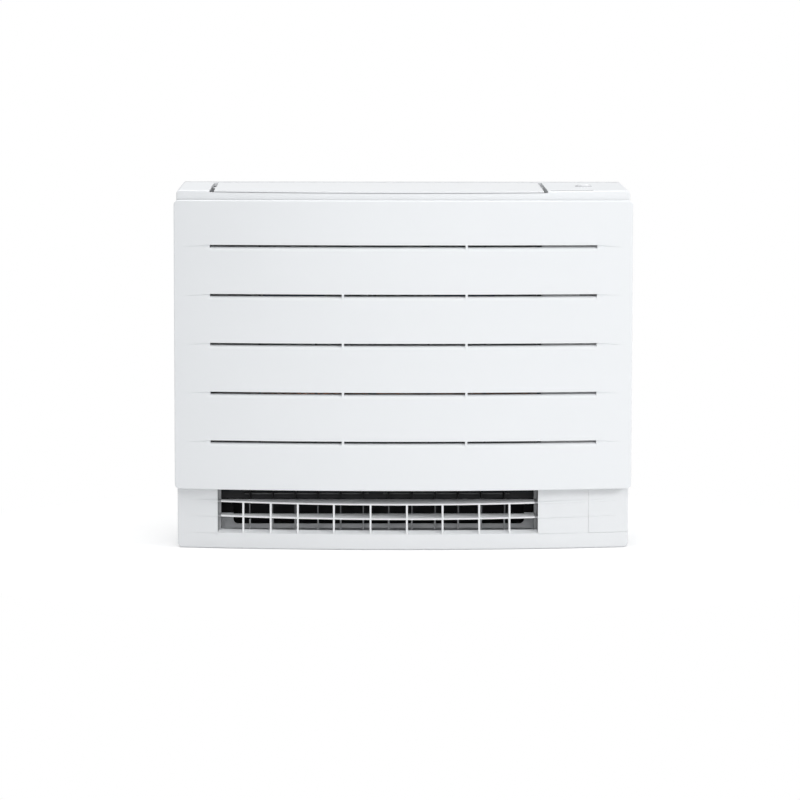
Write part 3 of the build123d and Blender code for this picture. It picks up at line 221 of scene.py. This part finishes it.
def ductPlastic(name, pale, middle, dark, black):
    # dark inside, and lighter grey in the upper throat as painted light, where light falls in from the top
    # opening from the mouth plate forward, a pale foot with a black stretch of painted shade over it
    finish = Finish(name, IOR=1.45, Specular_IOR_Level=0.12)
    level = finish.along("Z")
    ahead = finish.below(finish.along("Y"), ductZones["plateRear"])
    inLitThroat = 1.0 - finish.below(level, ductZones["throatFoot"])
    deep = finish.mottled(dark, 18.0, 4.0, 0.14)
    foot = finish.mottled(pale, 6.0, 3.0, 0.03)
    throat = finish.mottled(middle, 9.0, 3.0, 0.08)
    paintedShadeBand = finish.blendColours(finish.below(level, ductZones["shadeBandTop"]) * ahead, deep, opaque(black))
    lower = finish.blendColours(finish.below(level, ductZones["paleTop"]) * ahead, paintedShadeBand, foot)
    finish.colour(finish.blendColours(inLitThroat, lower, throat))
    grained(finish, ductMould, 0.47, 0.1)
    return finish.material


# the grille's middle, and how far from it the end posts begin, which carry painted shade
shadedPostZone = {"middle": -0.042, "reach": 0.2575}


def grillePlastic(name, colour, paintedPostShade):
    # the two end posts, in the outlet's shaded corners, carry painted shade: a darker tone
    finish = Finish(name, IOR=1.46)
    aside = finish.calculate("ABSOLUTE", finish.along("X") - shadedPostZone["middle"])
    inShadedPosts = finish.calculate("GREATER_THAN", aside, shadedPostZone["reach"])
    even = finish.mottled(colour, 4.0, 3.0, evenSpread)
    finish.colour(finish.blendColours(inShadedPosts, even, opaque(paintedPostShade)))
    grained(finish, paleMould, 0.38, 0.05)
    return finish.material


# just behind the vanes' front edges, and the tops of their stretch of painted light and of the pale pivots
vaneZones = {"edgeRear": -0.0437, "paleTop": 0.0755, "pivotTop": 0.0438}


def vanePlastic(name, colour, litEdgeTone, pivotTone):
    # vanes painted near black as painted shade, with painted light along the lower part of their front edges,
    # where light reaches through the grille, on pale lower pivots
    finish = Finish(name, IOR=1.45, Specular_IOR_Level=0.2)
    level = finish.along("Z")
    ahead = finish.below(finish.along("Y"), vaneZones["edgeRear"])
    shadedBody = finish.mottled(colour, 18.0, 4.0, 0.14)
    litEdged = finish.blendColours(ahead * finish.below(level, vaneZones["paleTop"]), shadedBody, opaque(litEdgeTone))
    finish.colour(finish.blendColours(finish.below(level, vaneZones["pivotTop"]), litEdged, opaque(pivotTone)))
    grained(finish, darkMould, 0.38, 0.12)
    return finish.material


def galvanisedSheet(name, colour, spangle=120.0):
    # zinc crystals, each a little lighter or darker and smoother or rougher than its neighbours
    finish = Finish(name, Metallic=0.85)
    cells = finish.add("ShaderNodeTexVoronoi", {}, {"Vector": finish.place(), "Scale": spangle}, "Color")
    grey = finish.add("ShaderNodeRGBToBW", {}, {"Color": cells})
    finish.colour(finish.blendColours(grey, shaded(colour, 0.86), shaded(colour, 1.1)))
    finish.rough(0.34 + grey * 0.14 + finish.noise(60.0, 3.0) * 0.08)
    finish.bump(finish.noise(500.0, 3.0), 0.06, 0.0003)
    return finish.material


def bareMetal(name, colour, roughness=0.3, streaks=(40.0, 40.0, 900.0)):
    # the streaks lie closest along the axis with the highest number
    finish = Finish(name, Metallic=1.0)
    lines = finish.noise(1.0, 3.0, finish.calculateVector("MULTIPLY", finish.place(), streaks))
    finish.colour(finish.blendColours(lines, shaded(colour, 0.85), shaded(colour, 1.08)))
    finish.rough(roughness - 0.06 + lines * 0.14)
    finish.bump(lines, 0.08, 0.0002)
    return finish.material


def drawnCopper(name, colour, oxide):
    # bright copper with browner patches of oxide
    finish = Finish(name, Metallic=1.0)
    patches = finish.ramp(finish.noise(22.0, 5.0), [(0.35, (0, 0, 0, 1)), (0.7, (1, 1, 1, 1))])
    finish.colour(finish.blendColours(patches, opaque(colour), opaque(oxide)))
    finish.rough(0.22 + patches * 0.25)
    finish.bump(finish.noise(320.0, 3.0), 0.05, 0.0003)
    return finish.material


# greys that the brick pattern mixes from: two for the board and one for the tracks
boardPlan = {
    "Color1": (0, 0, 0, 1),
    "Color2": (0.12, 0.12, 0.12, 1),
    "Mortar": (1, 1, 1, 1),
    "Scale": 70.0,
    "Mortar Size": 0.05,
}


def circuitBoard(name, colour, trackTone):
    # lacquered board: paler copper tracks show through the green
    finish = Finish(name, IOR=1.5)
    tracks = finish.add("ShaderNodeTexBrick", {}, {"Vector": finish.place(), **boardPlan})
    finish.colour(finish.blendColours(tracks, opaque(colour), opaque(trackTone)))
    finish.rough(0.32 + finish.noise(90.0, 3.0) * 0.1)
    finish.bump(tracks, 0.1, 0.0002)
    return finish.material


def netPlastic(name, colour):
    finish = Finish(name, IOR=1.45)
    finish.colour(finish.mottled(colour, 400.0, 2.0, 0.2))
    finish.rough(0.5 + finish.noise(200.0) * 0.1)
    return finish.material


shades = {
    "panel": (0.790, 0.806, 0.822),
    "casing": (0.794, 0.807, 0.821),
    "ring": (0.480, 0.488, 0.500),
    "flap": (0.805, 0.815, 0.827),
    "button": (0.780, 0.790, 0.800),
    "grille": (0.830, 0.840, 0.850),
    # painted shade of the outlet's corners, on the grille's end posts
    "postInShade": (0.300, 0.306, 0.315),
    # painted light of the duct's upper throat
    "throat": (0.360, 0.366, 0.376),
    "duct": (0.055, 0.056, 0.060),
    "ductFloor": (0.800, 0.812, 0.830),
    # painted light on the vanes' lower front edges, then painted shade over the vanes
    "vaneEdge": (0.200, 0.205, 0.215),
    "vane": (0.010, 0.010, 0.011),
    # painted shade beside the duct's hole
    "hole": (0.004, 0.004, 0.005),
    "vanePin": (0.700, 0.710, 0.725),
    "link": (0.120, 0.123, 0.128),
    "sheet": (0.560, 0.575, 0.590),
    "steel": (0.560, 0.560, 0.570),
    "zincScrew": (0.640, 0.640, 0.630),
    "resin": (0.620, 0.615, 0.590),
    "black": (0.022, 0.022, 0.025),
    "fan": (0.520, 0.540, 0.560),
    "fins": (0.720, 0.740, 0.770),
    "copper": (0.720, 0.330, 0.190),
    "oxide": (0.300, 0.130, 0.070),
    "brass": (0.690, 0.500, 0.230),
    "pan": (0.330, 0.345, 0.360),
    "net": (0.120, 0.128, 0.138),
    "cartridge": (0.030, 0.050, 0.110),
    "board": (0.020, 0.110, 0.050),
    "track": (0.180, 0.340, 0.160),
    "window": (0.740, 0.750, 0.762),
    "lamp": (0.200, 0.210, 0.225),
}

finishes = {
    "panel_white": mouldedPlastic("panelWhite", shades["panel"]),
    "casing_white": casingPlastic("casingWhite", shades["casing"], shades["ring"]),
    "flap_white": mouldedPlastic("flapWhite", shades["flap"], roughness=0.4),
    "button_white": mouldedPlastic("buttonWhite", shades["button"], roughness=0.3, grain=0.02),
    "grille_grey": grillePlastic("grilleWhite", shades["grille"], shades["postInShade"]),
    "duct_grey": ductPlastic(
        "ductGrey", shades["ductFloor"], shades["throat"], shades["duct"], shades["hole"]
    ),
    "damper_grey": darkPlastic("damperGrey", shades["duct"]),
    "vane_grey": vanePlastic("vaneBlack", shades["vane"], shades["vaneEdge"], shades["vanePin"]),
    "link_plastic": darkPlastic("linkGrey", shades["link"]),
    "chassis_steel": galvanisedSheet("chassisSheet", shades["sheet"]),
    "bracket_steel": galvanisedSheet("bracketSheet", shades["sheet"], spangle=160.0),
    "box_steel": galvanisedSheet("boxSheet", shades["sheet"], spangle=140.0),
    "screw_steel": bareMetal("zincScrew", shades["zincScrew"], 0.28),
    "spring_steel": bareMetal("springWire", shades["steel"], 0.25),
    "shaft_steel": bareMetal("groundShaft", shades["steel"], 0.2, (40.0, 900.0, 40.0)),
    "motor_resin": mouldedPlastic("motorResin", shades["resin"], 0.5, 0.2, 0.05),
    "motor_plastic": darkPlastic("motorBlack", shades["black"]),
    "fan_plastic": mouldedPlastic("fanPlastic", shades["fan"], 0.5, 0.1, 0.03),
    "fin_aluminium": bareMetal("finAluminium", shades["fins"], 0.3, (60.0, 60.0, 60.0)),
    "copper": drawnCopper("drawnCopper", shades["copper"], shades["oxide"]),
    "nut_brass": bareMetal("machinedBrass", shades["brass"], 0.25, (30.0, 900.0, 30.0)),
    "pan_plastic": mouldedPlastic("panPlastic", shades["pan"], 0.55, 0.15, 0.04),
    "filter_mesh": netPlastic("filterNet", shades["net"]),
    "cartridge_plastic": darkPlastic("cartridgeBlue", shades["cartridge"]),
    "board_green": circuitBoard("circuitBoard", shades["board"], shades["track"]),
    "terminal_plastic": darkPlastic("terminalBlack", shades["black"], 0.4),
    "window_smoke": mouldedPlastic("windowPale", shades["window"], 0.14, 0.0, 0.004, Coat_Weight=0.5),
    "lamp_grey": darkPlastic("lampLens", shades["lamp"], 0.12, 0.0),
}
print("finishes made:", len(finishes))


# solids of the frame: metres within which corners are one, and the degrees from which an edge is crisp
dressPlan = {"weld": 0.000002, "crispFrom": 28.0}


def dress(node, slotName):
    piece = nodes[node]
    mesh = piece.data
    mesh.materials.clear()
    mesh.materials.append(finishes[slotName])
    for face in mesh.polygons:
        face.use_smooth = True
        face.material_index = 0
    weld = piece.modifiers.new("weld", "WELD")
    weld.merge_threshold = dressPlan["weld"]
    split = piece.modifiers.new("crispEdges", "EDGE_SPLIT")
    split.split_angle = math.radians(dressPlan["crispFrom"])
    # broad faces rule the normals, so that no rounded edge shades the face beside it
    even = piece.modifiers.new("evenNormals", "WEIGHTED_NORMAL")
    even.keep_sharp = True


slotOf = {entry["node"]: entry["material_slot"] for entry in frame["record"]["subparts"]}
for node, slotName in slotOf.items():
    dress(node, slotName)
print("nodes dressed:", len(slotOf))


def newPiece(name, build, slotName, body="cabinet"):
    shape = bmesh.new()
    build(shape)
    bmesh.ops.recalc_face_normals(shape, faces=shape.faces)
    mesh = bpy.data.meshes.new(name)
    shape.to_mesh(mesh)
    shape.free()
    piece = bpy.data.objects.new(name, mesh)
    scene.collection.objects.link(piece)
    mesh.materials.append(finishes[slotName])
    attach(piece, body)
    return piece


def addBar(shape, low, high):
    corners = []
    for x in (low[0], high[0]):
        for y in (low[1], high[1]):
            for z in (low[2], high[2]):
                corners.append(shape.verts.new((x, y, z)))
    for ring in ((0, 1, 3, 2), (4, 6, 7, 5), (0, 4, 5, 1), (2, 3, 7, 6), (0, 2, 6, 4), (1, 5, 7, 3)):
        shape.faces.new([corners[corner] for corner in ring])


# heat exchanger: thin fins on the tubes
finPlan = {"pitch": 0.0016, "thickness": 0.00014, "wave": 0.0004}


def buildFins(shape):
    low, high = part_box("fin_pack")
    count = int((high[0] - low[0]) / finPlan["pitch"])
    step = (high[0] - low[0] - finPlan["thickness"]) / count
    for number in range(count + 1):
        left = low[0] + step * number
        # every other fin is a little shallower, in front and behind
        back = finPlan["wave"] * (number % 2)
        addBar(shape, (left, low[1] + back, low[2]), (left + finPlan["thickness"], high[1] - back, high[2]))


fins = newPiece("coil_fins", buildFins, "fin_aluminium")
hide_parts("fin_pack")
print("fins made")


# button spring: a wound wire that shortens as the button goes down; here it is built at one length
springPlan = {"turns": 5.2, "sides": 8, "steps": 24, "wire": 0.00035, "press": 0.0012}


def buildSpring(shape):
    plan = springPlan
    low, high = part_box("button_spring")
    centre = ((low[0] + high[0]) / 2, (low[1] + high[1]) / 2)
    radius = (high[0] - low[0]) / 2 - plan["wire"]
    rise = (high[2] - low[2] - 2 * plan["wire"]) / plan["turns"]
    rings = []
    for step in range(int(plan["turns"] * plan["steps"]) + 1):
        turn = 2 * math.pi * step / plan["steps"]
        ring = []
        for side in range(plan["sides"]):
            around = 2 * math.pi * side / plan["sides"]
            reach = radius + plan["wire"] * math.cos(around)
            x = centre[0] + reach * math.cos(turn)
            y = centre[1] + reach * math.sin(turn)
            z = low[2] + plan["wire"] * (1 + math.sin(around)) + rise * step / plan["steps"]
            ring.append(shape.verts.new((x, y, z)))
        rings.append(ring)
    for first, second in zip(rings, rings[1:]):
        for side in range(plan["sides"]):
            after = (side + 1) % plan["sides"]
            shape.faces.new((first[side], first[after], second[after], second[side]))
    shape.faces.new(rings[0])
    shape.faces.new(list(reversed(rings[-1])))
    for face in shape.faces:
        face.smooth = True


spring = newPiece("button_coil", buildSpring, "spring_steel")
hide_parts("button_spring")
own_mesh(spring)
print("button spring made")


# filters: a ribbed frame with a net of crossed strands in it; the ribs stand in from the frame's two faces
filterPlan = {
    "rim": 0.006,
    "rib": 0.003,
    "columns": 3,
    "rows": 5,
    "columnInset": 0.0006,
    "rowInset": 0.0012,
    "strand": 0.00045,
    "pitch": 0.0032,
    "tab": (0.030, 0.005, 0.002),
    "tabRoot": 0.0005,
}


def buildFilter(node):
    plan = filterPlan
    tabWide, tabDeep, tabThick = plan["tab"]
    low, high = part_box(node)
    front = low[1] + tabDeep
    back = high[1]
    middle = (front + back) / 2
    rim = plan["rim"]
    left = low[0] + rim
    right = high[0] - rim
    foot = low[2] + rim
    head = high[2] - rim

    def addRim(shape):
        addBar(shape, (low[0], front, low[2]), (left, back, high[2]))
        addBar(shape, (right, front, low[2]), (high[0], back, high[2]))
        addBar(shape, (left, front, low[2]), (right, back, foot))
        addBar(shape, (left, front, head), (right, back, high[2]))

    def addRibs(shape):
        half = plan["rib"] / 2
        inset = plan["columnInset"]
        for number in range(1, plan["columns"]):
            place = low[0] + (high[0] - low[0]) * number / plan["columns"]
            addBar(shape, (place - half, front + inset, foot), (place + half, back - inset, head))
        inset = plan["rowInset"]
        for number in range(1, plan["rows"]):
            place = low[2] + (high[2] - low[2]) * number / plan["rows"]
            addBar(shape, (left, front + inset, place - half), (right, back - inset, place + half))

    def addNet(shape):
        half = plan["strand"] / 2
        wide = high[0] - low[0] - 2 * rim
        across = int(wide / plan["pitch"])
        for number in range(1, across):
            place = left + wide * number / across
            addBar(shape, (place - half, middle - half, foot), (place + half, middle, head))
        tall = high[2] - low[2] - 2 * rim
        up = int(tall / plan["pitch"])
        for number in range(1, up):
            place = foot + tall * number / up
            addBar(shape, (left, middle, place - half), (right, middle + half, place + half))

    def addTab(shape):
        centre = (low[0] + high[0]) / 2
        addBar(
            shape,
            (centre - tabWide / 2, low[1], high[2] - 2 * tabThick),
            (centre + tabWide / 2, front + plan["tabRoot"], high[2] - tabThick),
        )

    def build(shape):
        for addPart in (addRim, addRibs, addNet, addTab):
            addPart(shape)

    return build


for node in ("left_filter", "right_filter"):
    net = newPiece(node + "_net", buildFilter(node), "filter_mesh")
    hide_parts(node)
print("filters made")


# stage: metres from the object's middle at which the floor begins and ends its fade to plain white
stagePlan = {
    "floorSize": 60.0,
    "floorDrop": 0.0004,
    "floorTone": (0.80, 0.80, 0.80, 1.0),
    "floorDrift": 1.01,
    "whiteLift": 0.30,
    "clearOf": 0.40,
    "whiteFrom": 0.85,
}


def stageFinish():
    # pale floor under the object, running out to plain white for the camera
    finish = Finish("paleFloor", Roughness=0.9)
    tone = stagePlan["floorTone"]
    finish.colour(finish.blendColours(finish.noise(0.6, 1.0), tone, shaded(tone, stagePlan["floorDrift"])))
    seen = finish.add("ShaderNodeLightPath", output="Is Camera Ray")
    glow = {"Color": (1, 1, 1, 1), "Strength": seen * stagePlan["whiteLift"]}
    lift = finish.add("ShaderNodeEmission", {}, glow)
    white = finish.add("ShaderNodeEmission", {}, {"Color": (1, 1, 1, 1), "Strength": 1.0})
    lifted = finish.add("ShaderNodeAddShader", {}, {0: Level(finish, finish.shader.outputs[0]), 1: lift})
    away = finish.calculateVector("LENGTH", finish.place(), output="Value")
    span = stagePlan["whiteFrom"] - stagePlan["clearOf"]
    clamped = {"operation": "MULTIPLY", "use_clamp": True}
    share = finish.add("ShaderNodeMath", clamped, {0: away - stagePlan["clearOf"], 1: 1 / span})
    mixed = finish.add("ShaderNodeMixShader", {}, {"Fac": share * seen, 1: lifted, 2: white})
    finish.feed(finish.output.inputs["Surface"], mixed)
    return finish.material


def makeFloor():
    half = stagePlan["floorSize"] / 2
    corners = [(-half, -half, 0), (half, -half, 0), (half, half, 0), (-half, half, 0)]
    mesh = bpy.data.meshes.new("floor")
    mesh.from_pydata(corners, [], [(0, 1, 2, 3)])
    floor = bpy.data.objects.new("floor", mesh)
    floor.location.z = -stagePlan["floorDrop"]
    scene.collection.objects.link(floor)
    mesh.materials.append(stageFinish())


# the room lights the object faintly and evenly, and the camera sees plain white in its place
roomPlan = {"tone": (0.97, 0.985, 1.0, 1.0), "strength": 0.37, "seenTone": (1.0, 1.0, 1.0, 1.0)}


def makeWorld():
    world = bpy.data.worlds.new("studio")
    scene.world = world
    world.use_nodes = True
    tree = world.node_tree
    tree.nodes.clear()
    output = tree.nodes.new("ShaderNodeOutputWorld")
    room = tree.nodes.new("ShaderNodeBackground")
    room.inputs["Color"].default_value = roomPlan["tone"]
    room.inputs["Strength"].default_value = roomPlan["strength"]
    seen = tree.nodes.new("ShaderNodeBackground")
    seen.inputs["Color"].default_value = roomPlan["seenTone"]
    rays = tree.nodes.new("ShaderNodeLightPath")
    mixer = tree.nodes.new("ShaderNodeMixShader")
    tree.links.new(rays.outputs["Is Camera Ray"], mixer.inputs[0])
    tree.links.new(room.outputs[0], mixer.inputs[1])
    tree.links.new(seen.outputs[0], mixer.inputs[2])
    tree.links.new(mixer.outputs[0], output.inputs["Surface"])


# every lamp points at one place near the object's middle
lampTarget = (0, 0, 0.3)
lamps = {
    "keySide": {"place": (4.3, -2.0, 2.0), "size": (1.3, 1.3), "watts": 82.0},
    "frontHigh": {"place": (0.3, -3.4, 2.9), "size": (2.6, 1.6), "watts": 27.0},
    "frontLow": {"place": (0.0, -4.6, 0.75), "size": (2.6, 0.6), "watts": 27.0},
    "overhead": {"place": (-0.3, -0.2, 3.4), "size": (2.6, 2.6), "watts": 74.0},
}


def makeLamp(name, place, size, watts):
    light = bpy.data.lights.new(name, "AREA")
    light.shape = "RECTANGLE"
    light.size, light.size_y = size
    light.energy = watts
    lamp = bpy.data.objects.new(name, light)
    scene.collection.objects.link(lamp)
    lamp.location = place
    direction = Vector(lampTarget) - Vector(place)
    lamp.rotation_euler = direction.to_track_quat("-Z", "Y").to_euler()


# the camera's place in metres, angles in degrees and lens in millimetres, fitted to the object's edges
cameraPlan = {
    "place": (-0.0731, -5.081, 0.6409),
    "turn": 0.7736,
    "tilt": -4.530,
    "roll": 0.071,
    "lens": 137.7,
    "sensor": 36.0,
    "sees": 60.0,
}


def makeCamera():
    data = bpy.data.cameras.new("view")
    data.lens = cameraPlan["lens"]
    data.sensor_width = cameraPlan["sensor"]
    data.clip_end = cameraPlan["sees"]
    camera = bpy.data.objects.new("view", data)
    scene.collection.objects.link(camera)
    turn = math.radians(cameraPlan["turn"])
    tilt = math.radians(cameraPlan["tilt"])
    ahead = Vector((math.sin(turn) * math.cos(tilt), math.cos(turn) * math.cos(tilt), math.sin(tilt)))
    right = Vector((math.cos(turn), -math.sin(turn), 0))
    upward = right.cross(ahead)
    facing = Matrix((right, upward, -ahead)).transposed().to_4x4()
    facing = facing @ Matrix.Rotation(math.radians(cameraPlan["roll"]), 4, "Z")
    camera.matrix_world = Matrix.Translation(cameraPlan["place"]) @ facing
    scene.camera = camera


makeFloor()
makeWorld()
for lampName, lamp in lamps.items():
    makeLamp(lampName, lamp["place"], lamp["size"], lamp["watts"])
makeCamera()
scene.view_settings.view_transform = "Standard"
print("stage, lamps and camera set")
